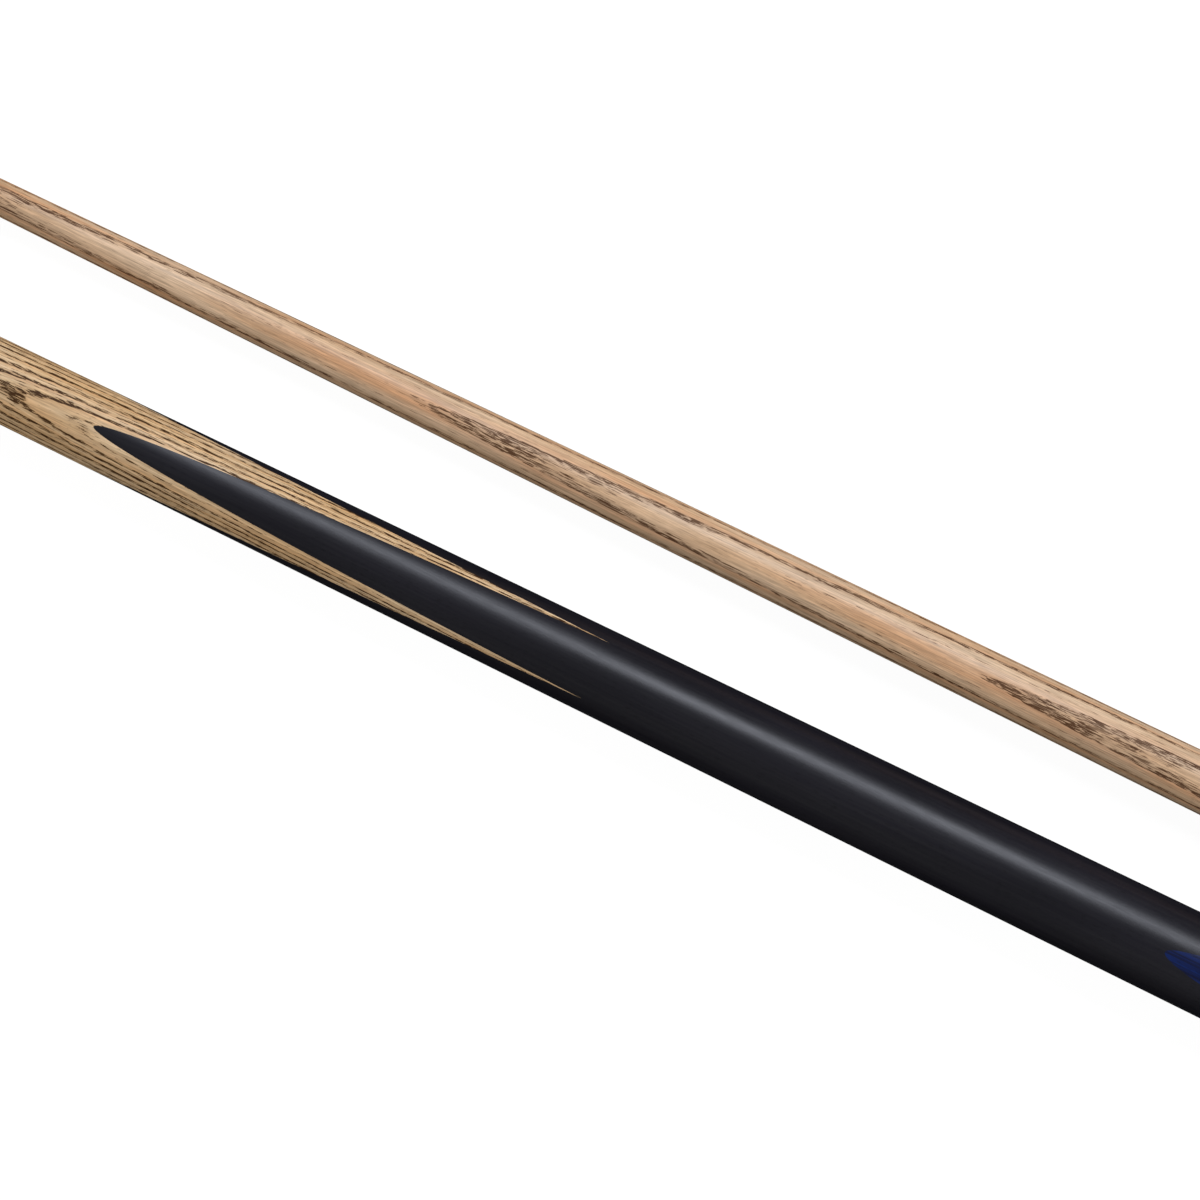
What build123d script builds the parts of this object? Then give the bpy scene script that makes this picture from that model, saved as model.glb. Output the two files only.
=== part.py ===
"""Two-piece ash cue with a hand-spliced butt, laid out taken apart: the butt
section on the X axis and the shaft section parallel beside it.

Frame: millimetres, +Z up. The origin is the centre of the butt section's joint
face, the shoulder that the other section seats against. +X runs along the butt
section towards its bumper, so the joint pin stands out towards -X. The shaft
section lies at +Y, a little lower than the butt's axis, with its tip towards -X
and its joint face towards +X.
"""
from build123d import *
from build123d.topology import SkipClean
import os

os.makedirs("parts", exist_ok=True)

# ---------------------------------------------------------------- dimensions
CUE_LENGTH = 1448.0  # tip to bumper, joined
SECTION_LENGTH = CUE_LENGTH / 2  # each section, shoulder to free end
GLUE = 0.02  # glue line between a metal part and its seat

# shaft section, measured back from the crown of the tip
TIP_D = 9.0
SHAFT_TAPER = [(90.0, 10.9), (240.0, 13.85), (440.0, 17.0)]  # (distance, diameter)
JOINT_D = 20.0
TIP_EDGE = 3.6  # height of the tip's straight wall
TIP_CROWN = 1.6  # height of its dome
TIP_H = TIP_EDGE + TIP_CROWN
FERRULE_END = TIP_H + 11.0
FERRULE_CHAMFER = 0.1
TENON_R = 3.4

# butt section, x measured back from the joint face
BUTT_D = 29.0
WOOD_END = 710.0
SPLICE_TIP_X = 221.0  # where the four dark splices start
SPLICE_SLOPE = 0.01692  # how fast each glue plane sinks towards the axis
SECOND_TIP_X = 555.0  # where the second, stained splice starts
SECOND_SLOPE = 0.0372
SECOND_TURN = 4.0  # degrees round the axis

# joint hardware, measured from the joint face
FLANGE = 6.0
JOINT_CHAMFER = 0.3
ANCHOR_R = 7.0
ANCHOR_LENGTH = 24.0
ANCHOR_END = FLANGE + ANCHOR_LENGTH
ANCHOR_BORE = ANCHOR_LENGTH + 0.1  # depth of the wood's bore for an anchor
SHANK_R = 5.0
PIN_ANCHOR_R = 5.5
PIN_OUT = 24.0
SHANK_OUT = 6.0
THREAD_PITCH = 2.0
THREAD_ROOT_R = 4.15
THREAD_PLAY = 0.1  # radial play of the pin's thread in the socket
PILOT_R = 3.9
PILOT_LENGTH = 5.5
SOCKET_MOUTH_R = 5.1
SOCKET_MOUTH_DEPTH = 6.5
SOCKET_THREAD_END = 19.5
SOCKET_BOTTOM = 25.5

# weight, plug and insert, one behind the other in the end bore
BORE_R = 6.5
BORE_START = 625.0
WEIGHT_LENGTH = 46.0
WEIGHT_START = BORE_START + 1.0
PLUG_LENGTH = 10.0
PLUG_START = WEIGHT_START + WEIGHT_LENGTH
INSERT_START = PLUG_START + PLUG_LENGTH + 1.0
INSERT_FLANGE_R = 7.3
INSERT_FLANGE = 2.0
INSERT_GAP = 0.05  # in front of and behind the insert's flange
GROOVE_WIDTH = 2.0
GROOVE_DEPTH = 0.8

# bumper, its washer and its screw
SCREW_PITCH = 1.5
SCREW_R = 4.0
SCREW_ROOT_R = 3.1
SCREW_TIP_X = 689.0
INSERT_THREAD_START = INSERT_START - SCREW_PITCH
INSERT_THREAD = 28.3  # length of the cut thread
BUMPER_START = WOOD_END + 0.02
BUMPER_ROUND = 3.0
BUMPER_HOLE_R = 4.3
BUMPER_SEAT = 716.0  # floor of the bumper's counterbore
COUNTERBORE_R = 6.5
WASHER = 1.2
HEAD_X = BUMPER_SEAT + WASHER + 0.05
HEAD_R = 5.6
HEAD_H = 4.0
HEAD_CHAMFER = 0.7
HEAD_END = HEAD_X + HEAD_H
SLOT_WIDTH = 1.6
SLOT_DEPTH = 1.8

# layout of the shaft section beside the butt section
SHAFT_TIP_X = 120.6
SHAFT_Y = 46.4
SHAFT_Z = -5.2
SHAFT_FACE_X = SHAFT_TIP_X + SECTION_LENGTH
SHAFT_PLANE = Plane(origin=(SHAFT_TIP_X, SHAFT_Y, SHAFT_Z))
SHAFT_AXIS = Axis(SHAFT_PLANE.origin, (1, 0, 0))
# measures from the shaft's joint face back towards its tip
SOCKET_PLANE = Plane(
    origin=(SHAFT_FACE_X, SHAFT_Y, SHAFT_Z), x_dir=(-1, 0, 0), z_dir=(0, 0, -1)
)


# ------------------------------------------------------------------- helpers
def butt_r(x):
    """Radius of the butt section at x."""
    return (JOINT_D + (BUTT_D - JOINT_D) * x / SECTION_LENGTH) / 2


def shaft_r(distance):
    """Radius of the shaft section at a distance back from the tip."""
    knots = [(0.0, TIP_D)] + SHAFT_TAPER + [(SECTION_LENGTH, JOINT_D)]
    for (start, start_d), (end, end_d) in zip(knots, knots[1:]):
        if distance <= end:
            return (start_d + (end_d - start_d) * (distance - start) / (end - start)) / 2
    return JOINT_D / 2


def turned(points, plane=Plane.XY):
    """A lathe-turned solid from (distance, radius) points, its axis the plane's X line."""
    with BuildPart() as made:
        with BuildSketch(plane):
            with BuildLine():
                Polyline(*points, close=True)
            make_face()
        revolve(axis=Axis(plane.origin, (1, 0, 0)))
    return made.part


def ridge(root_r, crest_r, root_w, crest_w, pitch, length):
    """A right-hand helical ridge round +Z from z = 0, one trapezoid swept up."""
    height = crest_r - root_r
    sunk = -0.12  # the root reaches below root_r, to overlap the body
    with BuildPart() as made:
        with BuildLine() as path:
            Helix(pitch, length, root_r)
        with BuildSketch(
            Plane(origin=path.line @ 0, x_dir=(1, 0, 0), z_dir=path.line % 0)
        ):
            with BuildLine():
                Polyline(
                    (sunk, -root_w / 2),
                    (height, -crest_w / 2),
                    (height, crest_w / 2),
                    (sunk, root_w / 2),
                    close=True,
                )
            make_face()
        sweep(path=path.line, is_frenet=True)
    return made.part


def lead_in(x, root_r, crest_r):
    """The room left for a thread by a cone turned on its starting end, at x on the X axis."""
    start = x + 0.1
    room_r = crest_r + 0.01
    return turned([
        (start, 0),
        (start, root_r + 0.02),
        (start + (crest_r - root_r) * 1.2, room_r),
        (x + 60.0, room_r),
        (x + 60.0, 0),
    ])


def along_x(part, x, y=0.0, z=0.0, toward=1):
    """Stands a +Z part along +X (toward=1) or -X (toward=-1) with its base at x."""
    return Plane(origin=(x, y, z), x_dir=(0, 1, 0), z_dir=(toward, 0, 0)).location * part


def turn_plane(plane, turn):
    """The plane turned round the X axis, in degrees."""
    return Plane(Location((0, 0, 0), (turn, 0, 0)) * plane.location)


def glue_plane(start_x, slope, turn):
    """The plane that starts on the butt's surface and sinks towards the axis, turned round X."""
    flat = Plane(origin=(start_x, 0, butt_r(start_x)), x_dir=(0, 1, 0), z_dir=(slope, 0, 1))
    return turn_plane(flat, turn)


def write(part, name):
    part.label = name
    export_step(part, f"parts/{name}.step")


# ------------------------------------------------------------ shaft section
# leather tip: a short drum with a dome
with BuildPart() as tip:
    with BuildSketch(SHAFT_PLANE):
        with BuildLine():
            ThreePointArc((0, 0), (TIP_CROWN * 0.26, TIP_D / 4), (TIP_CROWN, TIP_D / 2))
            Polyline((TIP_CROWN, TIP_D / 2), (TIP_H, shaft_r(TIP_H)), (TIP_H, 0), (0, 0))
        make_face()
    revolve(axis=SHAFT_AXIS)
write(tip.part, "tip")

# brass ferrule: a ring over the shaft's tenon
ferrule = turned(
    [
        (TIP_H, TENON_R + GLUE),
        (TIP_H, shaft_r(TIP_H) - FERRULE_CHAMFER),
        (TIP_H + FERRULE_CHAMFER, shaft_r(TIP_H)),
        (FERRULE_END - FERRULE_CHAMFER, shaft_r(FERRULE_END)),
        (FERRULE_END, shaft_r(FERRULE_END) - FERRULE_CHAMFER),
        (FERRULE_END, TENON_R + GLUE),
    ],
    SHAFT_PLANE,
)
write(ferrule, "ferrule")

# ash shaft: tenon, taper, and a bore at the back for the joint socket
WOOD_BACK = SECTION_LENGTH - FLANGE
BORE_BACK = WOOD_BACK - ANCHOR_BORE
shaft = turned(
    [
        (TIP_H, 0),
        (TIP_H, TENON_R),
        (FERRULE_END, TENON_R),
        (FERRULE_END, shaft_r(FERRULE_END)),
        *[(distance, diameter / 2) for distance, diameter in SHAFT_TAPER],
        (WOOD_BACK, shaft_r(WOOD_BACK)),
        (WOOD_BACK, ANCHOR_R + GLUE),
        (BORE_BACK, ANCHOR_R + GLUE),
        (BORE_BACK, 0),
    ],
    SHAFT_PLANE,
)
write(shaft, "shaft")

# grooved anchor behind a joint flange: (distance behind the flange, radius)
GROOVE_R = ANCHOR_R - GROOVE_DEPTH
ANCHOR_OUTLINE = [
    (0, GROOVE_R), (2, GROOVE_R), (2, ANCHOR_R),
    (8, ANCHOR_R), (8, GROOVE_R), (10, GROOVE_R), (10, ANCHOR_R),
    (16, ANCHOR_R), (16, GROOVE_R), (18, GROOVE_R), (18, ANCHOR_R),
    (ANCHOR_LENGTH - 0.8, ANCHOR_R), (ANCHOR_LENGTH, ANCHOR_R - 0.8),
]


def joint_outline(flange_r):
    """Outside of a joint fitting, flange then anchor; flange_r is at the flange's wood side."""
    return [
        (0, JOINT_D / 2 - JOINT_CHAMFER),
        (JOINT_CHAMFER, JOINT_D / 2),
        (FLANGE, flange_r),
        *[(FLANGE + distance, radius) for distance, radius in ANCHOR_OUTLINE],
    ]


# brass joint socket: flange at the joint face, grooved anchor, threaded blind bore
SOCKET_ROOT_R = THREAD_ROOT_R + THREAD_PLAY
SOCKET_PILOT_R = PILOT_R + 0.2
MOUTH_CHAMFER = 0.4
socket_profile = [
    (0, SOCKET_MOUTH_R + MOUTH_CHAMFER),
    *joint_outline(shaft_r(WOOD_BACK)),
    (ANCHOR_END, 0),
    (SOCKET_BOTTOM + 1.5, 0),
    (SOCKET_BOTTOM, SOCKET_PILOT_R),
    (SOCKET_THREAD_END, SOCKET_PILOT_R),
    (SOCKET_THREAD_END, SOCKET_ROOT_R),
    (SOCKET_MOUTH_DEPTH, SOCKET_ROOT_R),
    (SOCKET_MOUTH_DEPTH, SOCKET_MOUTH_R),
    (MOUTH_CHAMFER, SOCKET_MOUTH_R),
]
with BuildPart() as joint_socket:
    add(turned(socket_profile, SOCKET_PLANE))
    female = ridge(
        root_r=SOCKET_ROOT_R,
        crest_r=SHANK_R + THREAD_PLAY,
        root_w=1.45,
        crest_w=0.45,
        pitch=THREAD_PITCH,
        length=SOCKET_THREAD_END - SOCKET_MOUTH_DEPTH + 1.0,
    )
    thread_x = SHAFT_FACE_X - SOCKET_MOUTH_DEPTH + 1.2
    add(along_x(female, thread_x, SHAFT_Y, SHAFT_Z, toward=-1), mode=Mode.SUBTRACT)
write(joint_socket.part, "joint_socket")

# ------------------------------------------------------------- butt section
# brass joint collar: the butt's matching flange, with a grooved anchor
joint_collar = turned([
    (0, PIN_ANCHOR_R + GLUE),
    *joint_outline(butt_r(FLANGE)),
    (ANCHOR_END, PIN_ANCHOR_R + GLUE),
])
write(joint_collar, "joint_collar")

# brass joint pin: plain shank held in the collar, threaded middle, pilot nose
PIN_THREAD_X = -PIN_OUT + PILOT_LENGTH + 0.25
pin_profile = [
    (-PIN_OUT, 0),
    (-PIN_OUT, PILOT_R - 1.2),
    (-PIN_OUT + 1.2, PILOT_R),
    (-PIN_OUT + PILOT_LENGTH, PILOT_R),
    (PIN_THREAD_X, THREAD_ROOT_R),
    (-SHANK_OUT - 0.85, THREAD_ROOT_R),
    (-SHANK_OUT, SHANK_R),
    (0.05, SHANK_R),
    (0.05, PIN_ANCHOR_R),
    (ANCHOR_END - 1.0, PIN_ANCHOR_R),
    (ANCHOR_END, PIN_ANCHOR_R - 1.0),
    (ANCHOR_END, 0),
]
with BuildPart() as joint_pin:
    add(turned(pin_profile))
    male = ridge(
        root_r=THREAD_ROOT_R,
        crest_r=SHANK_R,
        root_w=1.2,
        crest_w=0.3,
        pitch=THREAD_PITCH,
        length=11.4,
    )
    pin_room = lead_in(PIN_THREAD_X, THREAD_ROOT_R, SHANK_R)
    add(along_x(male, -SHANK_OUT - 0.3, toward=-1) & pin_room)
write(joint_pin.part, "joint_pin")

# the butt's full outside, from behind the collar to the end of the wood
BODY_PROFILE = [
    (FLANGE, 0),
    (FLANGE, butt_r(FLANGE)),
    (WOOD_END, butt_r(WOOD_END)),
    (WOOD_END, 0),
]
# glue planes: front faces +Z, back -Z, right +Y and left -Y
front_plane = glue_plane(SPLICE_TIP_X, SPLICE_SLOPE, 0)
right_plane = glue_plane(SPLICE_TIP_X, SPLICE_SLOPE, -90)
back_plane = glue_plane(SPLICE_TIP_X, SPLICE_SLOPE, 180)
left_plane = glue_plane(SPLICE_TIP_X, SPLICE_SLOPE, 90)
second_plane = glue_plane(SECOND_TIP_X, SECOND_SLOPE, SECOND_TURN)

# ash core: full round at the joint, planed to a tapering square where the splices
# are glued on, cut off square at the end bore
with BuildPart() as butt_core:
    add(turned(BODY_PROFILE))
    for plane in (front_plane, back_plane, left_plane, right_plane):
        split(bisect_by=plane, keep=Keep.BOTTOM)
    with BuildSketch(Plane.YZ.offset(BORE_START)):
        Rectangle(40, 40)
    extrude(amount=100, mode=Mode.SUBTRACT)
    with BuildSketch(Plane.YZ.offset(FLANGE)):
        Circle(ANCHOR_R + GLUE)
    extrude(amount=ANCHOR_BORE, mode=Mode.SUBTRACT)
write(butt_core.part, "butt_core")

SLAB = (80, 1600)  # cutting slabs, wider and longer than the butt
INWARD = -60  # slab depth that cuts away the axis side of a glue plane
OUTWARD = 60  # slab depth that cuts away the outer side
# (radius, start) of the end bore and of the seat for the insert's flange
END_BORES = [
    (BORE_R, BORE_START),
    (INSERT_FLANGE_R + GLUE, WOOD_END - INSERT_FLANGE - INSERT_GAP),
]


def splice(crown, cuts, bores=END_BORES):
    """A splice: the butt's outside cut by (glue plane, depth) slabs, then bored.

    The outer face is parted along its crown, where the crown plane crosses it, so
    that the feather-thin point stays well formed; SkipClean keeps that parting line.
    """
    with SkipClean():
        with BuildPart() as made:
            with BuildSketch(crown):
                with BuildLine():
                    Polyline(*BODY_PROFILE, close=True)
                make_face()
            revolve(axis=Axis.X, revolution_arc=180, clean=False)
            mirror(about=crown)
            for plane, depth in cuts:
                with BuildSketch(plane):
                    Rectangle(*SLAB)
                extrude(amount=depth, clean=False, mode=Mode.SUBTRACT)
            for radius, start in bores:
                with BuildSketch(Plane.YZ.offset(start)):
                    Circle(radius)
                extrude(amount=WOOD_END - start, clean=False, mode=Mode.SUBTRACT)
    return made.part


# two side splices, glued first and planed flat with the core
for name, side_plane in (("splice_left", left_plane), ("splice_right", right_plane)):
    side_cuts = [(side_plane, INWARD), (front_plane, OUTWARD), (back_plane, OUTWARD)]
    write(splice(Plane.XY, side_cuts), name)

# back splice, glued over the planed sides
write(splice(Plane.XZ, [(back_plane, INWARD)]), "splice_back")

# front splice, glued over the planed sides, then planed for the second splice
front_cuts = [(front_plane, INWARD), (second_plane, OUTWARD)]
write(splice(Plane.XZ, front_cuts), "splice_front")

# second splice: the stained wood on the front of the butt
second_crown = turn_plane(Plane.XZ, SECOND_TURN)
write(splice(second_crown, [(second_plane, INWARD)], bores=[]), "splice_second")

# ---------------------------------------------------------- butt end hardware
# lead balance weight
with BuildPart() as balance_weight:
    with BuildSketch(Plane.YZ.offset(WEIGHT_START)):
        Circle(BORE_R - 0.05)
    extrude(amount=WEIGHT_LENGTH)
    chamfer(balance_weight.edges().filter_by(GeomType.CIRCLE), 0.6)
write(balance_weight.part, "balance_weight")

# wooden plug that holds the weight in the end bore
with BuildPart() as weight_plug:
    with BuildSketch(Plane.YZ.offset(PLUG_START)):
        Circle(BORE_R - 0.03)
    extrude(amount=PLUG_LENGTH)
write(weight_plug.part, "weight_plug")

# brass end insert: flange in the butt's end face, grooved anchor, through thread
with BuildPart() as end_insert:
    with BuildSketch(Plane.YZ.offset(INSERT_START)):
        Circle(BORE_R - GLUE)
        Circle(SCREW_ROOT_R + 0.15, mode=Mode.SUBTRACT)
    extrude(amount=WOOD_END - INSERT_GAP - INSERT_START)
    cutter = ridge(
        root_r=SCREW_ROOT_R,
        crest_r=SCREW_R + 0.12,
        root_w=1.3,
        crest_w=0.42,
        pitch=SCREW_PITCH,
        length=INSERT_THREAD,
    )
    add(along_x(cutter, INSERT_THREAD_START), mode=Mode.SUBTRACT)
    with BuildSketch(Plane.YZ.offset(WOOD_END - INSERT_FLANGE)):
        Circle(INSERT_FLANGE_R)
        Circle(BORE_R - 1.0, mode=Mode.SUBTRACT)
    extrude(amount=INSERT_FLANGE - INSERT_GAP)
    for groove_start in (7, 15):
        with BuildSketch(Plane.YZ.offset(INSERT_START + groove_start)):
            Circle(BORE_R + 1.0)
            Circle(BORE_R - GROOVE_DEPTH, mode=Mode.SUBTRACT)
        extrude(amount=GROOVE_WIDTH, mode=Mode.SUBTRACT)
    # shallow counterbore in the end face
    with BuildSketch(Plane.YZ.offset(WOOD_END - 1.0)):
        Circle(SCREW_R + 0.4)
    extrude(amount=2, mode=Mode.SUBTRACT)
write(end_insert.part, "end_insert")

# rubber bumper: carries on the butt's taper, rounded at the end, counterbored for the screw
BUMPER_R = butt_r(SECTION_LENGTH)
ROUND_START = (SECTION_LENGTH - BUMPER_ROUND, BUMPER_R)
ROUND_MIDDLE = (SECTION_LENGTH - 0.88, BUMPER_R - 0.88)
ROUND_END = (SECTION_LENGTH, BUMPER_R - BUMPER_ROUND)
with BuildPart() as bumper:
    with BuildSketch():
        with BuildLine():
            Polyline(
                (BUMPER_START, BUMPER_HOLE_R),
                (BUMPER_START, butt_r(WOOD_END) - 0.35),
                (WOOD_END + 0.4, butt_r(WOOD_END)),
                ROUND_START,
            )
            ThreePointArc(ROUND_START, ROUND_MIDDLE, ROUND_END)
            Polyline(
                ROUND_END,
                (SECTION_LENGTH, COUNTERBORE_R + 0.5),
                (SECTION_LENGTH - 0.5, COUNTERBORE_R),
                (BUMPER_SEAT, COUNTERBORE_R),
                (BUMPER_SEAT, BUMPER_HOLE_R),
                (BUMPER_START, BUMPER_HOLE_R),
            )
        make_face()
    revolve(axis=Axis.X)
write(bumper.part, "bumper")

# steel washer in the bumper's counterbore
with BuildPart() as bumper_washer:
    with BuildSketch(Plane.YZ.offset(BUMPER_SEAT + 0.02)):
        Circle(6.3)
        Circle(4.2, mode=Mode.SUBTRACT)
    extrude(amount=WASHER)
write(bumper_washer.part, "bumper_washer")

# steel bumper screw: slotted cheese head, thread to the tip
NECK_R = SCREW_R - 0.05  # plain neck under the head
screw_profile = [
    (SCREW_TIP_X, 0),
    (SCREW_TIP_X, SCREW_ROOT_R - 1.0),
    (SCREW_TIP_X + 1.0, SCREW_ROOT_R),
    (HEAD_X - 5.0, SCREW_ROOT_R),
    (HEAD_X - 4.2, NECK_R),
    (HEAD_X, NECK_R),
    (HEAD_X, HEAD_R),
    (HEAD_END - HEAD_CHAMFER, HEAD_R),
    (HEAD_END, HEAD_R - HEAD_CHAMFER),
    (HEAD_END, 0),
]
with BuildPart() as bumper_screw:
    add(turned(screw_profile))
    with BuildSketch(Plane.YZ.offset(HEAD_END - SLOT_DEPTH)):
        Rectangle(HEAD_R * 3, SLOT_WIDTH)
    extrude(amount=3, mode=Mode.SUBTRACT)
    # in step with the insert's thread: its start lies a whole number of turns along
    turns = int((SCREW_TIP_X + 1.2 - INSERT_THREAD_START) / SCREW_PITCH) + 1
    male_screw = ridge(
        root_r=SCREW_ROOT_R,
        crest_r=SCREW_R,
        root_w=1.1,
        crest_w=0.2,
        pitch=SCREW_PITCH,
        length=SCREW_PITCH * 13,
    )
    screw_room = lead_in(SCREW_TIP_X + 1.0, SCREW_ROOT_R, SCREW_R)
    add(along_x(male_screw, INSERT_THREAD_START + turns * SCREW_PITCH) & screw_room)
write(bumper_screw.part, "bumper_screw")
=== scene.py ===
"""A two-piece ash cue on a pale floor in soft studio light.

The butt lies on the X axis, joint face at x = 0 and bumper end towards +X. The shaft lies
parallel to it, its tip at the low-x end. Front means +Z, back -Z, right +Y and left -Y; azimuths
run from +Z towards +Y. Lengths are millimetres unless a name ends in _M; meshes are scaled to
metres when they are made."""
import math

import bmesh
import bpy
import numpy as np
from mathutils import Matrix, Vector


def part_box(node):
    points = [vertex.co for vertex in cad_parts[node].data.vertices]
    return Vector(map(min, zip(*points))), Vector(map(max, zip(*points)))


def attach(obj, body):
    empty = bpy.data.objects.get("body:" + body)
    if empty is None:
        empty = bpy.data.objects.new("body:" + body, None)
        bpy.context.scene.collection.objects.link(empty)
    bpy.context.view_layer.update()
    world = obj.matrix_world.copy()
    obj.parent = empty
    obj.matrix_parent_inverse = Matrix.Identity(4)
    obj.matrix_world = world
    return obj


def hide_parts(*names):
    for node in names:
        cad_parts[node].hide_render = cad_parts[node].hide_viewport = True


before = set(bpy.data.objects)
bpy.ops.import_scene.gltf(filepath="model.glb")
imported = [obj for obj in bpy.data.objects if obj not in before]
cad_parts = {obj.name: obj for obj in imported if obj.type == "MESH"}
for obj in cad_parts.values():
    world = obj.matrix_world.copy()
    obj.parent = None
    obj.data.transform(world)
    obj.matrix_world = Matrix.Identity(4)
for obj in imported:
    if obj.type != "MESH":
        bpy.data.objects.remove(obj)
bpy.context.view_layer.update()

MM = 0.001  # metres in a millimetre
QUARTER = math.pi / 2

# ---------------------------------------------------------------- dimensions of the cue
JOINT_R, BUTT_R, SECTION = 10.0, 14.5, 724.0  # end radii of the butt, length of each section
TAPER = (BUTT_R - JOINT_R) / SECTION
FLANGE, WOOD_END = 6.0, 710.0  # the butt's wood runs between these
SPLICE_X, SPLICE_SLOPE = 221.0, 0.01692  # points of the four dark splices
STAINED_X, STAINED_SLOPE = 555.0, 0.0372  # point of the stained splice
STAINED_TURN = math.radians(4.0)  # it is turned this far to the left
BORE_X, BORE_R = 625.0, 6.5
RECESS_X, RECESS_R = 707.95, 7.32
ANCHOR_R, ANCHOR_DEEP = 7.02, 24.1  # hole in each joint end
OVERRUN = 3.0  # cutters pass the wood's end by this much
WELD = 1e-4  # points closer than this are merged
SHARP_ANGLE = 0.5  # radians; sharper edges stay crisp
CUTTER_SEGMENTS = 96

# the shaft section's place comes from the frame
socket_low, socket_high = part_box("joint_socket")
SHAFT_TIP = socket_high.x / MM - SECTION
SHAFT_Y = (socket_low.y + socket_high.y) / 2 / MM
SHAFT_Z = (socket_low.z + socket_high.z) / 2 / MM
SHAFT_ORIGIN = (SHAFT_TIP, SHAFT_Y, SHAFT_Z)
SHAFT_END = SECTION - FLANGE  # from the tip, like the shaft lengths below
TENON_START, TENON_END = 5.2, 16.2  # wood inside the ferrule
TENON_R, TENON_CHAMFER = 3.4, 0.2
# distance from the tip, radius
SHAFT_TAPER = ((0.0, 4.5), (90.0, 5.45), (240.0, 6.925), (440.0, 8.5), (SECTION, JOINT_R))


def butt_radius(x):
    return JOINT_R + TAPER * x


def shaft_radius(along):
    return float(np.interp(along, *zip(*SHAFT_TAPER)))


# where neighbouring dark splices meet and the ash between them leaves the surface
VALLEY_X = (butt_radius(SPLICE_X) + SPLICE_SLOPE * SPLICE_X - JOINT_R * math.sqrt(0.5)) / (
    SPLICE_SLOPE + TAPER * math.sqrt(0.5)
)


# ------------------------------------------------------------------------- mesh helpers
def add_object(name, data):
    obj = bpy.data.objects.new(name, data)
    bpy.context.scene.collection.objects.link(obj)
    return obj


def loft(name, rings):
    """A capped solid through closed rings that all have the same number of points."""
    mesh = bpy.data.meshes.new(name)
    solid = bmesh.new()
    sections = [[solid.verts.new(point) for point in ring] for ring in rings]
    solid.verts.index_update()
    count = len(rings[0])
    for near, far in zip(sections, sections[1:]):
        for j in range(count):
            k = (j + 1) % count
            solid.faces.new((near[j], near[k], far[k], far[j]))
    solid.faces.new(sections[0])
    solid.faces.new(sections[-1])
    bmesh.ops.remove_doubles(solid, verts=solid.verts, dist=WELD)
    bmesh.ops.dissolve_degenerate(solid, dist=WELD, edges=solid.edges)
    bmesh.ops.recalc_face_normals(solid, faces=solid.faces)
    bmesh.ops.scale(solid, vec=(MM, MM, MM), verts=solid.verts)
    solid.to_mesh(mesh)
    solid.free()
    return add_object(name, mesh)


def turned(name, profile, y=0.0, z=0.0, segments=144):
    """A lathe-turned solid about a line along X, from (x, radius) points, with flat ends."""
    angles = [2 * math.pi * j / segments for j in range(segments)]
    obj = loft(name, [
        [(x, y + radius * math.sin(angle), z + radius * math.cos(angle)) for angle in angles]
        for x, radius in profile
    ])
    shade(obj)
    return obj


def shade(obj):
    """Smooth shading that keeps sharp edges crisp."""
    solid = bmesh.new()
    solid.from_mesh(obj.data)
    for face in solid.faces:
        face.smooth = True
    for edge in solid.edges:
        edge.smooth = edge.is_manifold and edge.calc_face_angle(0.0) < SHARP_ANGLE
    solid.to_mesh(obj.data)
    solid.free()


def cutter(start, end, radius):
    return turned("cutter", [(start, radius), (end, radius)], segments=CUTTER_SEGMENTS)


def cut(obj, cutters):
    """Takes cutter solids out of obj, exactly, and removes them."""
    for tool in cutters:
        mod = obj.modifiers.new("cut", "BOOLEAN")
        mod.operation, mod.solver, mod.object = "DIFFERENCE", "EXACT", tool
        bpy.context.view_layer.update()
        depsgraph = bpy.context.evaluated_depsgraph_get()
        mesh = bpy.data.meshes.new_from_object(obj.evaluated_get(depsgraph))
        obj.modifiers.clear()
        old = obj.data
        obj.data = mesh
        mesh.name = obj.name
        bpy.data.meshes.remove(old)
    for tool in cutters:
        bpy.data.objects.remove(tool)


def cone_normals(obj):
    """True cone normals on the turned outside, flat ones on every other face."""
    on_cone_within, facing_least, end_lean_most = 2e-3, 0.9, 0.02
    mesh = obj.data
    mesh.polygons.foreach_set("use_smooth", [True] * len(mesh.polygons))
    points = np.zeros(len(mesh.vertices) * 3)
    mesh.vertices.foreach_get("co", points)
    points = points.reshape(-1, 3) / MM
    radius = np.hypot(points[:, 1], points[:, 2])
    on_cone = np.abs(radius - butt_radius(points[:, 0])) < on_cone_within
    normals = np.zeros((len(mesh.loops), 3))
    for face in mesh.polygons:
        corners = list(face.vertices)
        outer = all(on_cone[i] for i in corners)
        middle = points[corners].mean(axis=0)
        if outer:
            # chords across a feather edge also have every corner on the cone
            out = np.array([0.0, middle[1], middle[2]])
            out = out / max(math.hypot(middle[1], middle[2]), 1e-9)
            facing = float(np.dot(out, np.array(face.normal)))
            outer = facing > facing_least and abs(face.normal.x) < end_lean_most
        for loop, i in zip(face.loop_indices, corners):
            if outer:
                normal = np.array([-TAPER, points[i, 1] / radius[i], points[i, 2] / radius[i]])
                normals[loop] = normal / np.linalg.norm(normal)
            else:
                normals[loop] = face.normal
    mesh.normals_split_custom_set(normals.tolist())


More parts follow.
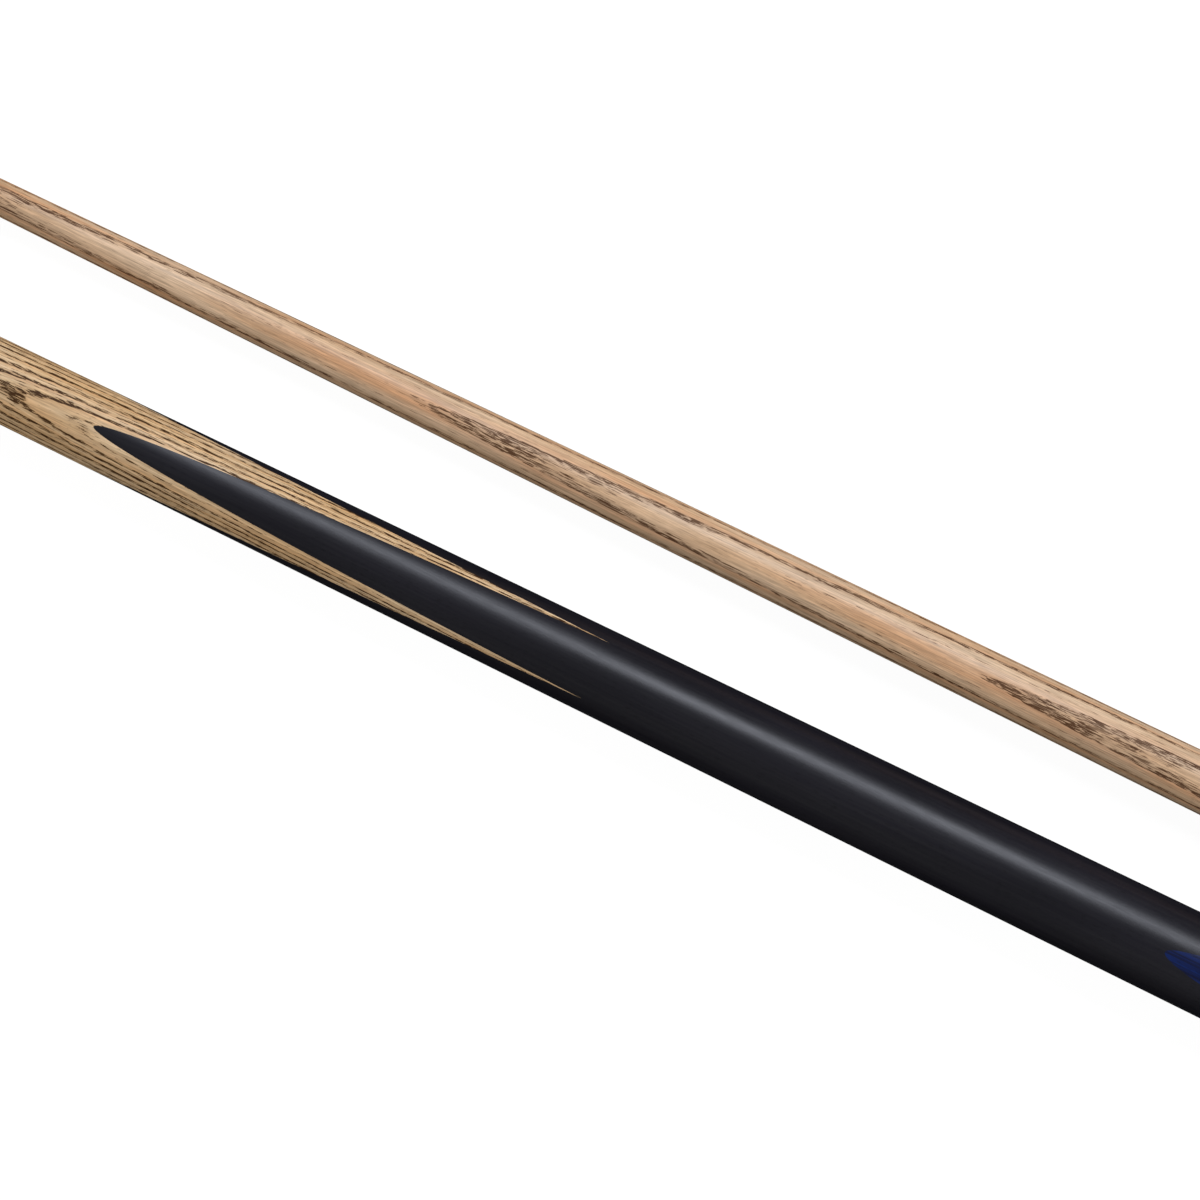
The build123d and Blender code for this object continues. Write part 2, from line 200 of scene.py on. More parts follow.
# ------------------------------------------------------------- the butt's spliced woods
def stations(start, end):
    """Shared cross-section places, closer together where a splice's point starts."""
    step, point_growth, least_gap = 3.0, 0.018, 0.004
    places = set(np.round(np.arange(start, end, step), 4).tolist()) | {start, end}
    for tip in (SPLICE_X, STAINED_X):
        places |= {round(tip + point_growth * i * i, 4) for i in range(1, 26)} | {tip}
    places |= {VALLEY_X, BORE_X, RECESS_X}
    kept = []
    for x in sorted(x for x in places if start <= x <= end):
        if not kept or x - kept[-1] > least_gap:
            kept.append(x)
    return kept


def dark_plane(x):
    """Distance of the four dark splices' glue planes from the axis."""
    return butt_radius(SPLICE_X) - SPLICE_SLOPE * (x - SPLICE_X)


def stained_plane(x):
    return butt_radius(STAINED_X) - STAINED_SLOPE * (x - STAINED_X)


def half_angle(plane, radius):
    """Half the azimuth that a plane cuts off a circle."""
    return math.acos(max(-1.0, min(1.0, plane / radius)))


def dark_half(x):
    return half_angle(dark_plane(x), butt_radius(x)) if x > SPLICE_X else 0.0


def stained_half(x):
    return half_angle(stained_plane(x), butt_radius(x)) if x > STAINED_X else 0.0


def at(x, azimuth, radius):
    return (x, radius * math.sin(azimuth), radius * math.cos(azimuth))


def arc(x, start, end, steps):
    """Points on the butt's surface between two azimuths."""
    radius = butt_radius(x)
    return [at(x, start + (end - start) * i / steps, radius) for i in range(steps + 1)]


def cut_bores(obj):
    end = WOOD_END + OVERRUN
    cut(obj, [cutter(BORE_X, end, BORE_R), cutter(RECESS_X, end, RECESS_R)])


def ash_core():
    """Ash between the splices: round at the joint, a square core past the valley."""
    steps, cutter_lead = 36, 2
    rings = []
    for x in stations(FLANGE, BORE_X):
        half = dark_half(x)
        ring = []
        for k in range(4):
            if x < VALLEY_X:
                ring += arc(x, k * QUARTER + half, (k + 1) * QUARTER - half, steps)
            else:
                corner = at(x, (k + 0.5) * QUARTER, dark_plane(x) * math.sqrt(2))
                ring += [corner] * (steps + 1)
        rings.append(ring)
    obj = loft("butt_ash", rings)
    cut(obj, [cutter(FLANGE - cutter_lead, FLANGE + ANCHOR_DEEP, ANCHOR_R)])
    return obj


def side_splice(name, side):
    """The splice on the right (side 1) or the left (side -1)."""
    centre = side * QUARTER
    rings = []
    for x in stations(SPLICE_X, WOOD_END):
        plane, half = dark_plane(x), dark_half(x)
        if x > VALLEY_X - 1:
            half = min(half, QUARTER - half)
        # inner corners, where the glue planes cross
        reach = plane if x > VALLEY_X else butt_radius(x) * math.sin(half)
        corners = [(x, plane * side, -z * side) for z in (reach, -reach)]
        rings.append(arc(x, centre - half, centre + half, 40) + corners)
    obj = loft(name, rings)
    cut_bores(obj)
    return obj


def back_splice():
    rings = []
    for x in stations(SPLICE_X, WOOD_END):
        half = dark_half(x)
        rings.append(arc(x, math.pi - half, math.pi + half, 64))
    obj = loft("dark_splice_back", rings)
    cut_bores(obj)
    return obj


def front_splice():
    """Its crown is parted along a line that drifts to the stained splice's middle."""
    rings = []
    for x in stations(SPLICE_X, WOOD_END):
        drift = min(max((x - SPLICE_X) / (STAINED_X - SPLICE_X), 0.0), 1.0)
        half, gap, middle = dark_half(x), stained_half(x), -STAINED_TURN * drift
        rings.append(arc(x, -half, middle - gap, 32) + arc(x, middle + gap, half, 32))
    obj = loft("dark_splice_front", rings)
    cut_bores(obj)
    return obj


def stained_splice():
    rings = []
    for x in stations(STAINED_X, WOOD_END):
        half = stained_half(x)
        rings.append(arc(x, -STAINED_TURN - half, -STAINED_TURN + half, 56))
    return loft("stained_splice", rings)


butt_ash = ash_core()
splice_right = side_splice("dark_splice_right", 1)
splice_left = side_splice("dark_splice_left", -1)
splice_back = back_splice()
splice_front = front_splice()
splice_stained = stained_splice()

# piece, the node it replaces, slot
for piece, node, slot in (
    (butt_ash, "butt_core", "butt_ash"),
    (splice_right, "splice_right", "dark_splices"),
    (splice_left, "splice_left", "dark_splices"),
    (splice_back, "splice_back", "dark_splices"),
    (splice_front, "splice_front", "dark_splices"),
    (splice_stained, "splice_second", "stained_splice"),
):
    cone_normals(piece)
    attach(piece, "butt_section")
    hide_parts(node)


# ----------------------------------------------------------------------------- the shaft
def shaft():
    """From the tenon in the ferrule to the joint end and its anchor hole."""
    profile = [
        (SHAFT_TIP + TENON_START, TENON_R - TENON_CHAMFER),
        (SHAFT_TIP + TENON_START + TENON_CHAMFER, TENON_R),
        (SHAFT_TIP + TENON_END, TENON_R),
    ]
    lengths = {TENON_END, SHAFT_TAPER[1][0], SHAFT_END}
    lengths |= set(np.arange(20.0, 716.0, 4.0).tolist())
    profile += [(SHAFT_TIP + along, shaft_radius(along)) for along in sorted(lengths)]
    profile += [
        (SHAFT_TIP + SHAFT_END, ANCHOR_R),
        (SHAFT_TIP + SHAFT_END - ANCHOR_DEEP, ANCHOR_R),
    ]
    return turned("shaft_ash", profile, SHAFT_Y, SHAFT_Z)


shaft_wood = shaft()
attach(shaft_wood, "shaft_section")
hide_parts("shaft")


# ------------------------------------------------------------------------ node materials
class Tree:
    """Builds a node tree; values may be sockets, which are linked, or plain numbers."""

    def __init__(self, owner, output="ShaderNodeOutputMaterial"):
        owner.use_nodes = True
        self.owner = owner
        self.tree = owner.node_tree
        self.tree.nodes.clear()
        self.output = self.tree.nodes.new(output)

    def node(self, kind, *values, **props):
        """A node with its properties set and its first inputs filled."""
        node = self.tree.nodes.new(kind)
        for key, value in props.items():
            setattr(node, key, value)
        for socket, value in zip(node.inputs, values):
            self.put(socket, value)
        return node

    def put(self, socket, value):
        if isinstance(value, bpy.types.NodeSocket):
            self.tree.links.new(value, socket)
        elif isinstance(value, tuple) and socket.type == "RGBA":
            socket.default_value = (*value, 1.0)
        else:
            socket.default_value = value

    def finish(self, node):
        self.put(self.output.inputs[0], node.outputs[0])
        return self.owner

    def math(self, operation, *values):
        return self.node("ShaderNodeMath", *values, operation=operation).outputs[0]

    def add(self, first, second):
        return self.math("ADD", first, second)

    def sub(self, first, second):
        return self.math("SUBTRACT", first, second)

    def mul(self, first, second):
        return self.math("MULTIPLY", first, second)

    def div(self, first, second):
        return self.math("DIVIDE", first, second)

    def vmath(self, operation, *values):
        return self.node("ShaderNodeVectorMath", *values, operation=operation).outputs[0]

    def xyz(self, vector):
        return tuple(self.node("ShaderNodeSeparateXYZ", vector).outputs)

    def vec(self, x, y, z):
        return self.node("ShaderNodeCombineXYZ", x, y, z).outputs[0]

    def stretch(self, vector, cell, offset=None):
        """The vector counted in cells of the given size, then moved by the offset."""
        if cell is not None:
            vector = self.vmath("MULTIPLY", vector, tuple(1 / size for size in cell))
        return vector if offset is None else self.vmath("ADD", vector, offset)

    def noise(self, vector, cell=None, offset=None, detail=2.0, rough=0.5):
        node = self.node("ShaderNodeTexNoise", self.stretch(vector, cell, offset))
        node.inputs["Scale"].default_value = 1.0
        node.inputs["Detail"].default_value = detail
        node.inputs["Roughness"].default_value = rough
        return node.outputs[0]

    def voronoi(self, vector, cell, offset=None):
        """Distance to the nearest cell point, and that cell's random colour."""
        node = self.node("ShaderNodeTexVoronoi", self.stretch(vector, cell, offset))
        node.inputs["Scale"].default_value = 1.0
        return node.outputs["Distance"], node.outputs["Color"]

    def ramp(self, value, stops):
        """A piecewise straight curve through (position, level) stops."""
        node = self.node("ShaderNodeValToRGB", value)
        elements = node.color_ramp.elements
        elements.remove(elements[-1])
        for i, (position, level) in enumerate(stops):
            element = elements[0] if i == 0 else elements.new(position)
            element.position = position
            element.color = (level, level, level, 1)
        return node.outputs[0]

    def span(self, value, over, to=(0.0, 1.0), smooth=True):
        """Maps one range to another, held at the ends."""
        kind = "SMOOTHSTEP" if smooth else "LINEAR"
        node = self.node("ShaderNodeMapRange", value, *over, *to, interpolation_type=kind)
        return node.outputs[0]

    def even(self, value, to):
        """A straight map from 0..1."""
        return self.span(value, over=(0.0, 1.0), to=to, smooth=False)

    def mix(self, factor, first, second):
        node = self.node("ShaderNodeMix", factor, data_type="RGBA")
        self.put(node.inputs[6], first)
        self.put(node.inputs[7], second)
        return node.outputs[2]

    def scale(self, colour, factor):
        node = self.node("ShaderNodeVectorMath", colour, operation="SCALE")
        self.put(node.inputs[3], factor)
        return node.outputs[0]

    def place(self, origin=(0, 0, 0)):
        """Object coordinates in mm from an origin: they stay with the piece when it moves."""
        coords = self.node("ShaderNodeTexCoord").outputs["Object"]
        return self.vmath("SUBTRACT", self.vmath("MULTIPLY", coords, (1000.0,) * 3), origin)

    def bump(self, height, strength, distance):
        node = self.node("ShaderNodeBump")
        node.inputs["Strength"].default_value = strength
        node.inputs["Distance"].default_value = distance * MM
        self.put(node.inputs["Height"], height)
        return node.outputs[0]

    def surface(self, **inputs):
        node = self.node("ShaderNodeBsdfPrincipled")
        for key, value in inputs.items():
            self.put(node.inputs[key.replace("_", " ")], value)
        return self.finish(node)


def material_tree(name):
    return Tree(bpy.data.materials.new(name))


def ash(name, origin, tilt, turn, run_from, years, warp, pores, tones, seed):
    """Open-grained ash. Growth layers are surfaces of equal depth, nearly parallel to the
    axis, so that they run out along the crown as long pointed figures. Vessels lie in those
    layers as long thin dashes, crowded at one side of each year's growth.

    tilt, turn: slope of the layers along x and their roll about it; run_from: x where the
    slope counts from; years: depths of the year boundaries; warp: slow and quick waviness.
    pores: band, the share of a year with crowded vessels; flip, count each year from its
    other side; second, strength of a thin second row; bend, extra depth past run_from; big,
    mid, small, cell sizes along, up and across; reach, least and most dash radius in cells;
    least, strength in faint patches; full, level drawn fully dark; shade, tint of the band;
    dark, opacity of a vessel."""
    tree = material_tree(name)
    place = tree.place(origin)
    x, y, z = tree.xyz(place)
    cosine, sine = math.cos(turn), math.sin(turn)
    up = tree.add(tree.mul(z, cosine), tree.mul(y, -sine))
    across = tree.add(tree.mul(y, cosine), tree.mul(z, sine))
    slow = tree.noise(place, cell=(70, 9, 9), offset=(seed, 3.1, 7.7), detail=1.0)
    quick = tree.noise(
        place, cell=(13, 1.8, 1.8), offset=(seed * 2, 9.3, 1.9), detail=3.0, rough=0.6
    )

    def warped(depth, noise, amount):
        return tree.add(depth, tree.mul(tree.sub(noise, 0.5), amount))

    # a layer leaves the crown steeply at its point, then runs on almost parallel to the axis
    bend_start, bend_length = -12.0, 24.0
    run = tree.sub(x, run_from)
    decay = tree.div(tree.math("MAXIMUM", run, bend_start), -bend_length)
    bend = tree.sub(1.0, tree.math("EXPONENT", decay))
    depth = tree.add(up, tree.mul(run, tilt))
    depth = tree.add(depth, tree.mul(bend, pores["bend"]))
    depth = warped(depth, slow, warp[0])
    depth = warped(depth, quick, warp[1])

    # years of growth: a whole number at each boundary
    count, first, extent = len(years) - 1, years[0], years[-1] - years[0]
    stops = [((edge - first) / extent, i / count) for i, edge in enumerate(years)]
    year = tree.ramp(tree.div(tree.sub(depth, first), extent), stops)
    phase = tree.math("FRACT", tree.mul(year, float(count)))
    if pores["flip"]:
        phase = tree.sub(1.0, phase)
    # vessel density and late-growth tint: (share of the year, level)
    band = pores["band"]
    density = tree.ramp(phase, [
        (0.0, 1.0), (0.40 * band, 0.9), (0.75 * band, 0.55), (band, 0.0), (0.60, 0.0),
        (0.68, pores["second"]), (0.76, 0.0), (0.965, 0.0), (1.0, 0.9),
    ])
    late = tree.ramp(phase, [
        (0.0, 0.8), (0.1, 0.15), (0.55, 0.05), (0.85, 0.75), (0.98, 1.0), (1.0, 0.9),
    ])

    # vessels: long thin cells, straight along the rod whatever the layers do
    grain = tree.vec(x, warped(up, slow, warp[0]), across)

    def dashes(cell, shift, soft, lightest):
        """Dashes softened over the given distance, the lightest at the given level."""
        offset = (seed * shift, seed * 3.3, 0.7 * shift)
        distance, random = tree.voronoi(grain, cell, offset)
        pick, lift, _ = tree.xyz(random)
        reach = tree.mul(density, tree.even(pick, to=pores["reach"]))
        dash = tree.span(tree.sub(reach, distance), over=(-0.03, soft))
        return tree.mul(dash, tree.even(lift, to=lightest))

    big = dashes(pores["big"], shift=1.0, soft=0.12, lightest=(0.65, 1.0))
    mid = dashes(pores["mid"], shift=2.3, soft=0.14, lightest=(0.45, 0.95))
    # small vessels also stray outside the band
    stray, follow, small_level = 0.46, 0.75, 0.55
    distance, random = tree.voronoi(grain, pores["small"], offset=(seed * 5, 1.3, seed))
    pick = tree.xyz(random)[0]
    crowd = tree.add(tree.mul(density, follow), stray)
    reach = tree.mul(crowd, tree.even(pick, to=(0.15, 0.62)))
    small = tree.span(tree.sub(reach, distance), over=(-0.03, 0.16))
    small = tree.mul(small, small_level)
    dark = tree.math("MAXIMUM", tree.math("MAXIMUM", big, mid), small)
    patchy = tree.noise(place, cell=(20, 2.6, 2.6), offset=(seed, 0.0, 4.0))
    ragged = tree.noise(grain, cell=(3.2, 0.30, 0.34), offset=(7.0, seed, 1.0))
    dark = tree.mul(dark, tree.span(patchy, over=(0.30, 0.60), to=(pores["least"], 1.0)))
    dark = tree.mul(dark, tree.span(ragged, over=(0.36, 0.50), to=(0.15, 1.0)))
    dark = tree.span(dark, over=(0.08, pores["full"]))

    # body colour: broad drift, growth tint, long fibre streaks
    drift = tree.noise(place, cell=(60, 6, 6), offset=(0.0, seed, 0.0))
    body = tree.mix(tree.span(drift, over=(0.3, 0.7)), tones["pale"], tones["gold"])
    tint = tree.mul(late, tree.span(drift, over=(0.25, 0.75), to=(0.30, 0.85)))
    body = tree.mix(tint, body, tones["late"])
    streak = tree.noise(grain, cell=(24, 0.34, 0.42), detail=3.0, rough=0.65)
    fibre = tree.noise(grain, cell=(5, 0.22, 0.24), rough=0.6)
    for pattern, levels in ((streak, (0.72, 1.19)), (fibre, (0.83, 1.13))):
        body = tree.scale(body, tree.span(pattern, over=(0.33, 0.67), to=levels, smooth=False))
    porous = tree.mix(tree.mul(density, pores["shade"]), body, tones["porous"])
    colour = tree.mix(tree.mul(dark, pores["dark"]), porous, tones["vessel"])

    # open pores stay slightly sunk under the finish, and are rougher
    fibre_height, pore_roughness = 0.10, 0.22
    height = tree.sub(tree.mul(fibre, fibre_height), dark)
    normal = tree.bump(height, strength=0.35, distance=0.05)
    finish = tree.span(streak, over=(0.2, 0.8), to=(0.33, 0.42))
    rough = tree.add(tree.mul(dark, pore_roughness), finish)
    return tree.surface(
        Base_Color=colour, Roughness=rough, Normal=normal, IOR=1.47, Specular_IOR_Level=0.28
    )


def dark_wood(name, turn, base, streak, seed, rough, gloss):
    """Close-grained wood under a satin finish: barely visible long streaks and a fine tooth."""
    tree = material_tree(name)
    cosine, sine = math.cos(turn), math.sin(turn)
    x, y, z = tree.xyz(tree.place())
    across = tree.add(tree.mul(y, cosine), tree.mul(z, sine))
    grain = tree.vec(x, across, tree.add(tree.mul(z, cosine), tree.mul(y, -sine)))
    streaks = tree.noise(
        grain, cell=(45, 0.8, 0.8), offset=(seed, seed, 0), detail=4.0, rough=0.6
    )
    tooth = tree.noise(grain, cell=(6, 0.22, 0.22), offset=(0, seed, seed))
    broad = tree.noise(grain, cell=(70, 9, 9), detail=1.0)
    distance, random = tree.voronoi(grain, cell=(3.2, 0.34, 0.34))
    pore_reach, tooth_height, pore_depth = 0.34, 0.25, 0.6
    reach = tree.mul(tree.xyz(random)[0], pore_reach)
    pores = tree.span(tree.sub(reach, distance), over=(-0.02, 0.08))
    colour = tree.mix(tree.span(streaks, over=(0.36, 0.68)), base, streak)
    colour = tree.scale(colour, tree.span(broad, over=(0.3, 0.7), to=(0.85, 1.15)))
    colour = tree.scale(colour, tree.span(pores, over=(0.0, 1.0), to=(1.0, 0.55)))
    height = tree.sub(tree.mul(tooth, tooth_height), tree.mul(pores, pore_depth))
    normal = tree.bump(height, strength=0.25, distance=0.012)
    roughness = tree.add(
        tree.span(tooth, over=(0.25, 0.75), to=(rough - 0.03, rough + 0.05)),
        tree.span(broad, over=(0.3, 0.7), to=(-0.02, 0.03)),
    )
    return tree.surface(
        Base_Color=colour, Roughness=roughness, Normal=normal, IOR=1.5, Specular_IOR_Level=gloss
    )


def lathe_metal(name, origin, colour, dull, rough, ring):
    """Turned metal: fine tool rings round the X axis, a little tarnish in patches."""
    tree = material_tree(name)
    place = tree.place(origin)
    x, y, z = tree.xyz(place)
    radius = tree.math("SQRT", tree.add(tree.mul(y, y), tree.mul(z, z)))
    lines = tree.noise(tree.vec(tree.div(x, ring), tree.div(radius, ring), 0.0), rough=0.7)
    patch = tree.noise(place, cell=(6.25,) * 3)
    speck = tree.noise(place, cell=(1 / 3,) * 3, detail=3.0)
    base = tree.mix(tree.span(patch, over=(0.30, 0.80), to=(0.0, 0.6)), colour, dull)
    base = tree.scale(base, tree.span(lines, over=(0.25, 0.75), to=(0.93, 1.04)))
    roughness = tree.add(
        tree.span(patch, over=(0.3, 0.8), to=(rough, rough + 0.05)),
        tree.span(speck, over=(0.4, 0.8), to=(0.0, 0.04)),
    )
    normal = tree.bump(lines, strength=0.18, distance=0.01)
    return tree.surface(Base_Color=base, Metallic=1.0, Roughness=roughness, Normal=normal)


def leather():
    """Pressed hide: layered edge, napped crown with a trace of blue chalk."""
    crown_edge = (1.3, 2.1)  # distance from the tip where crown turns to side
    chalk_most = 0.55
    tree = material_tree("tip_leather")
    place = tree.place(SHAFT_ORIGIN)
    x, y, z = tree.xyz(place)
    layers = tree.noise(tree.stretch_parts(x, y, z) if False else tree.vec(
        tree.div(x, 0.33), tree.div(y, 9.0), tree.div(z, 9.0)
    ), detail=3.0, rough=0.6)
    nap = tree.noise(place, cell=(0.25,) * 3, detail=5.0, rough=0.7)
    blotch = tree.noise(place, cell=(1 / 0.55,) * 3, detail=3.0)
    layered = tree.span(layers, over=(0.35, 0.65))
    side = tree.mix(layered, (0.090, 0.045, 0.022), (0.150, 0.082, 0.042))
    crown = tree.mix(tree.span(nap, over=(0.3, 0.7)), (0.13, 0.085, 0.055), (0.20, 0.14, 0.10))
    chalk = tree.mix(tree.span(nap, over=(0.35, 0.65)), (0.05, 0.13, 0.22), (0.12, 0.26, 0.38))
    chalked = tree.mul(tree.span(blotch, over=(0.35, 0.65)), chalk_most)
    crown = tree.mix(chalked, crown, chalk)
    colour = tree.mix(tree.span(x, over=crown_edge), crown, side)
    rough = tree.span(x, over=crown_edge, to=(0.95, 0.50))
    height = tree.mix(tree.span(x, over=crown_edge), nap, layers)
    normal = tree.bump(height, strength=0.6, distance=0.05)
    return tree.surface(
        Base_Color=colour, Roughness=rough, Normal=normal, Specular_IOR_Level=0.3
    )


def rubber():
    """Moulded black rubber: fine pebble, faint flow marks, dust near the rim."""
    tree = material_tree("bumper_rubber")
    place = tree.place()
    x = tree.xyz(place)[0]
    pebble = tree.noise(place, cell=(0.2,) * 3, detail=3.0, rough=0.6)
    flow = tree.noise(place, cell=(1 / 0.3, 1 / 0.12, 1 / 0.12), detail=3.0)
    flowed = tree.span(flow, over=(0.35, 0.7))
    colour = tree.mix(flowed, (0.012, 0.012, 0.013), (0.022, 0.022, 0.024))
    dust = tree.mul(
        tree.span(x, over=(SECTION - 5.0, SECTION)),
        tree.span(pebble, over=(0.4, 0.7), to=(0.0, 0.5)),
    )
    colour = tree.mix(dust, colour, (0.060, 0.057, 0.052))
    rough = tree.span(pebble, over=(0.3, 0.7), to=(0.52, 0.72))
    normal = tree.bump(pebble, strength=0.5, distance=0.05)
    return tree.surface(
        Base_Color=colour, Roughness=rough, Normal=normal, Specular_IOR_Level=0.4
    )


def paint(obj, material):
    obj.data.materials.clear()
    obj.data.materials.append(material)


butt_ash_material = ash(
    "ash_butt",
    origin=(0.0, 0.0, 0.0),
    tilt=0.0113,
    turn=math.radians(6.6),
    run_from=198.0,
    years=[
        -14.0, -12.2, -10.0, -7.7, -5.3, -3.0, -0.7, 1.5, 3.5,
        5.5, 7.3, 9.1, 10.35, 11.2, 13.2, 15.2, 17.2,
    ],
    warp=(0.30, 0.50),
    pores=dict(
        band=0.50, flip=True, full=0.48, second=0.75, bend=0.55,
        big=(7, 0.46, 0.50), mid=(5.0, 0.34, 0.36), small=(3.6, 0.24, 0.26),
        reach=(0.34, 0.88), least=0.66, shade=0.50, dark=1.0,
    ),
    tones=dict(
        pale=(0.610, 0.455, 0.285), gold=(0.580, 0.385, 0.200), late=(0.520, 0.290, 0.125),
        porous=(0.32, 0.170, 0.060), vessel=(0.046, 0.018, 0.003),
    ),
    seed=1.37,
)
shaft_ash_material = ash(
    "ash_shaft",
    origin=SHAFT_ORIGIN,
    tilt=0.0068,
    turn=0.0,
    run_from=200.0,
    years=[-12.6, -9.95, -7.3, -4.65, -2.0, 0.55, 3.05, 6.20, 8.90, 11.6, 14.3],
    warp=(0.30, 0.40),
    pores=dict(
        band=0.38, flip=False, full=0.70, second=0.45, bend=0.0,
        big=(9, 0.36, 0.38), mid=(6.5, 0.28, 0.29), small=(5, 0.21, 0.22),
        reach=(0.34, 0.92), least=0.60, shade=0.30, dark=0.95,
    ),
    tones=dict(
        pale=(0.560, 0.402, 0.265), gold=(0.535, 0.345, 0.200), late=(0.500, 0.250, 0.120),
        porous=(0.33, 0.19, 0.10), vessel=(0.065, 0.024, 0.007),
    ),
    seed=4.81,
)
paint(butt_ash, butt_ash_material)
paint(shaft_wood, shaft_ash_material)

SATIN = dict(rough=0.33, gloss=0.35)
BLACK = dict(base=(0.0070, 0.0065, 0.0100), streak=(0.0100, 0.0095, 0.0125))
BLUE = dict(base=(0.0012, 0.0110, 0.0780), streak=(0.0020, 0.0030, 0.0180))
PLUG = dict(base=(0.42, 0.29, 0.17), streak=(0.33, 0.21, 0.11), rough=0.6, gloss=0.3)
for piece, turn, seed in (
    (splice_front, 0, 1.0),
    (splice_back, math.pi, 2.0),
    (splice_left, -QUARTER, 3.0),
    (splice_right, QUARTER, 4.0),
):
    paint(piece, dark_wood(piece.name + "_wood", turn=turn, seed=seed, **BLACK, **SATIN))
paint(splice_stained, dark_wood("stained_wood", turn=0.0, seed=6.0, **BLUE, **SATIN))

# clean and tarnished colours
BRASS = ((0.90, 0.68, 0.32), (0.78, 0.55, 0.23))
ZINC = ((0.60, 0.61, 0.63), (0.42, 0.43, 0.45))
LEAD = ((0.30, 0.31, 0.33), (0.20, 0.21, 0.22))
# node, material, origin, colours, roughness, tool ring width
for node, name, origin, (clean, dull), rough, ring in (
    ("ferrule", "brass_ferrule", SHAFT_ORIGIN, BRASS, 0.20, 0.10),
    ("joint_socket", "brass_socket", SHAFT_ORIGIN, BRASS, 0.20, 0.12),
    ("joint_collar", "brass_collar", (0, 0, 0), BRASS, 0.20, 0.12),
    ("joint_pin", "brass_pin", (0, 0, 0), BRASS, 0.24, 0.14),
    ("end_insert", "brass_insert", (0, 0, 0), BRASS, 0.30, 0.16),
    ("bumper_washer", "zinc_washer", (0, 0, 0), ZINC, 0.30, 0.16),
    ("bumper_screw", "zinc_screw", (0, 0, 0), ZINC, 0.28, 0.16),
    ("balance_weight", "lead", (0, 0, 0), LEAD, 0.50, 0.5),
):
    paint(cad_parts[node], lathe_metal(name, origin, clean, dull, rough, ring))
paint(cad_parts["tip"], leather())
paint(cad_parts["bumper"], rubber())
paint(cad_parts["weight_plug"], dark_wood("plug_wood", turn=0.0, seed=8.0, **PLUG))

# ----------------------------------------------------------------- floor, light, camera
FLOOR_HALF_M = 8.0
FLOOR_X, FLOOR_GAP = 360.0, 0.06  # its middle, and its clearance under the butt
LIGHT_CENTRE_M = (0.40, 0.02, 0.0)


def floor_material():
    """Pale and glowing from above, clear from below."""
    tree = material_tree("pale_floor")
    cloud = tree.noise(tree.place(), cell=(50,) * 3)
    tone = tree.mix(cloud, (0.12, 0.12, 0.12), (0.13, 0.13, 0.13))
    matt = tree.node("ShaderNodeBsdfDiffuse", tone)
    glow = tree.node("ShaderNodeEmission", (1.0, 1.0, 1.0), 0.945)  # colour, strength
    pale = tree.node("ShaderNodeAddShader", matt.outputs[0], glow.outputs[0])
    clear = tree.node("ShaderNodeBsdfTransparent")
    below = tree.node("ShaderNodeNewGeometry").outputs["Backfacing"]
    return tree.finish(
        tree.node("ShaderNodeMixShader", below, pale.outputs[0], clear.outputs[0])
    )


def add_floor():
    """A plane tilted to follow the underside of the butt's taper."""
    grid = bmesh.new()
    bmesh.ops.create_grid(grid, x_segments=1, y_segments=1, size=FLOOR_HALF_M)
    mesh = bpy.data.meshes.new("floor")
    grid.to_mesh(mesh)
    grid.free()
    floor = add_object("floor", mesh)
    floor.rotation_euler = (0, math.atan(TAPER), 0)
    floor.location = (FLOOR_X * MM, 0, -(butt_radius(FLOOR_X) + FLOOR_GAP) * MM)
    mesh.materials.append(floor_material())
    floor.visible_diffuse = False
    floor.visible_glossy = False
    floor.visible_transmission = False


def softbox(name, azimuth, away_m, size_m, watts, colour, glossy):
    """An area light facing the centre, its first side along X."""
    light = bpy.data.lights.new(name, "AREA")
    light.shape = "RECTANGLE"
    light.size, light.size_y = size_m
    light.energy, light.color = watts, colour
    obj = add_object(name, light)
    angle = math.radians(azimuth)
    outward = Vector((0, math.sin(angle), math.cos(angle))).normalized()
    obj.location = Vector(LIGHT_CENTRE_M) + outward * away_m
    upward = outward.cross(Vector((1, 0, 0))).normalized()
    along = upward.cross(outward).normalized()
    obj.rotation_mode = "QUATERNION"
    turn = Matrix((along, upward, outward)).transposed()
    obj.rotation_quaternion = turn.to_quaternion()
    obj.visible_glossy = glossy


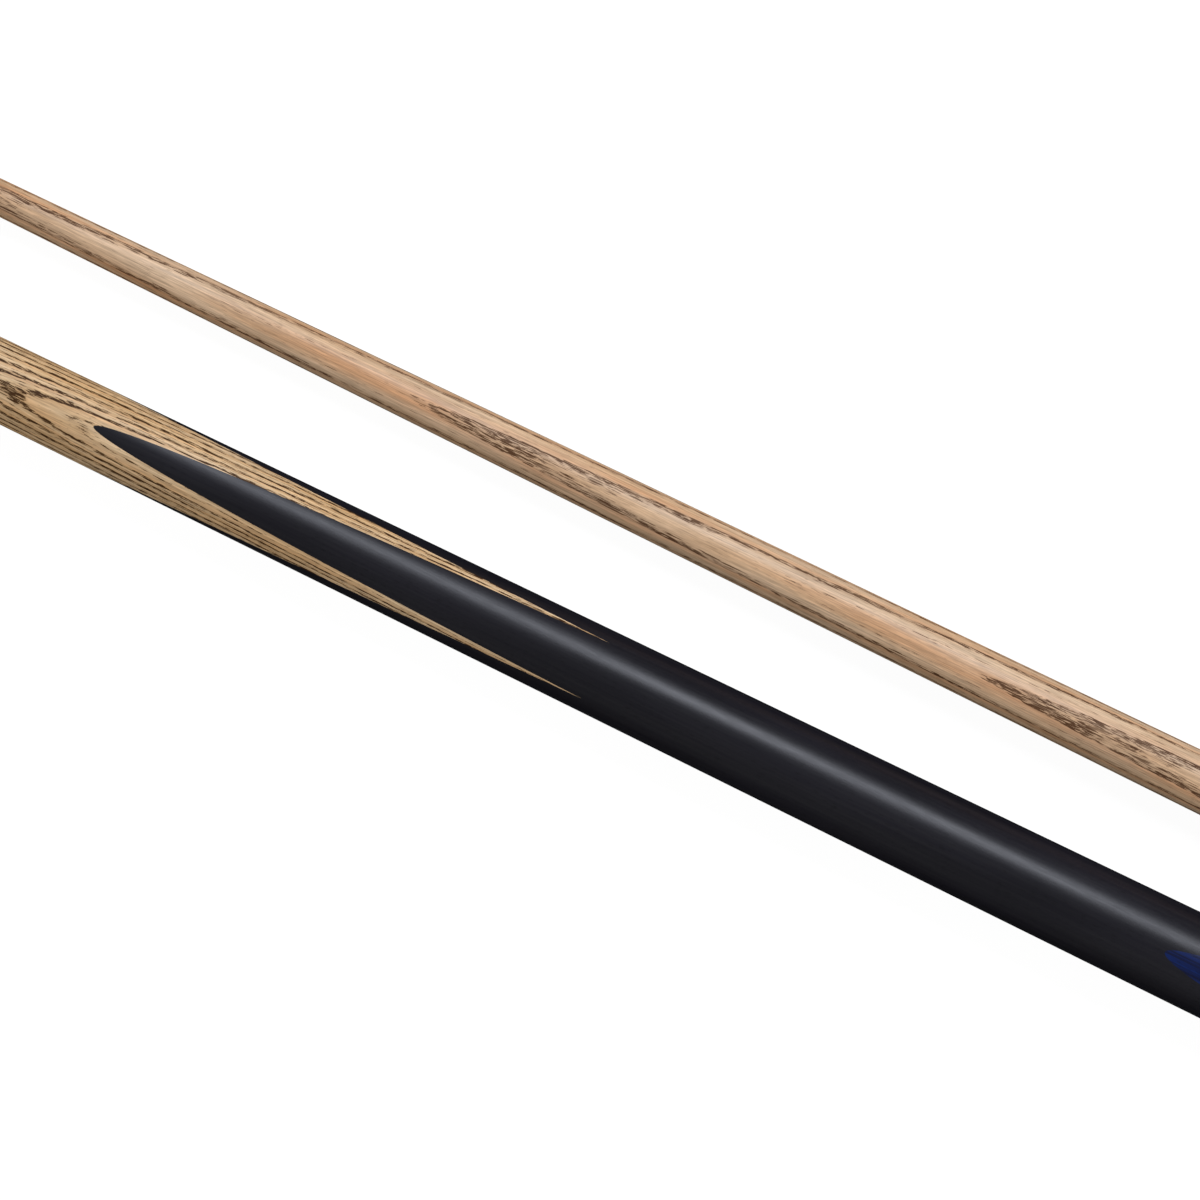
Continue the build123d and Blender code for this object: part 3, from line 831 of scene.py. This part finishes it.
def add_world():
    """White to the camera, a soft vertical gradient to reflections and to matt surfaces."""
    world = bpy.data.worlds.new("studio")
    bpy.context.scene.world = world
    tree = Tree(world, output="ShaderNodeOutputWorld")
    world.cycles.sampling_method = "NONE"
    path = tree.node("ShaderNodeLightPath")
    x, y, z = tree.xyz(tree.node("ShaderNodeTexCoord").outputs["Generated"])
    ambient = tree.add(
        tree.span(z, over=(-1.0, 1.0), to=(0.04, 0.30)),
        tree.span(z, over=(-1.0, -0.6), to=(0.30, 0.0)),
    )
    glossy = tree.mul(
        tree.span(z, over=(-0.55, 0.40), to=(0.010, 0.185)),
        tree.span(y, over=(-0.2, 1.0), to=(1.0, 0.35)),
    )
    # brighter towards both ends of the cue
    ends = tree.span(tree.math("ABSOLUTE", x), over=(0.55, 0.95), to=(0.0, 0.55))
    glossy = tree.add(glossy, ends)
    level = tree.mix(path.outputs["Is Glossy Ray"], ambient, glossy)
    level = tree.mix(path.outputs["Is Camera Ray"], level, (1.0, 1.0, 1.0))
    tree.finish(tree.node("ShaderNodeBackground", level))


def add_camera():
    """Above the cue, looking straight down."""
    cam = bpy.data.cameras.new("camera")
    cam.type, cam.lens, cam.sensor_width = "PERSP", 200.0, 36.0
    cam.clip_start, cam.clip_end = 0.1, 50.0
    camera = add_object("camera", cam)
    camera.location = (0.3698, 0.0184, 1.8779)
    camera.rotation_euler = (0, 0, math.radians(25.97))
    bpy.context.scene.camera = camera


add_floor()
softbox("key", azimuth=37, away_m=1.5, size_m=(1.0, 0.52), watts=14.2,
        colour=(0.905, 0.945, 1.05), glossy=True)
# broad weak lights low on both sides, for the matt part of the finish only
softbox("fill", azimuth=-60, away_m=1.6, size_m=(1.6, 1.2), watts=11.2,
        colour=(1.02, 1.0, 0.98), glossy=False)
softbox("rim", azimuth=62, away_m=1.6, size_m=(1.6, 1.0), watts=16.0,
        colour=(1.0, 1.0, 1.0), glossy=False)
add_world()
add_camera()

view = bpy.context.scene.view_settings
view.view_transform, view.look, view.exposure, view.gamma = "Standard", "None", 0.0, 1.0
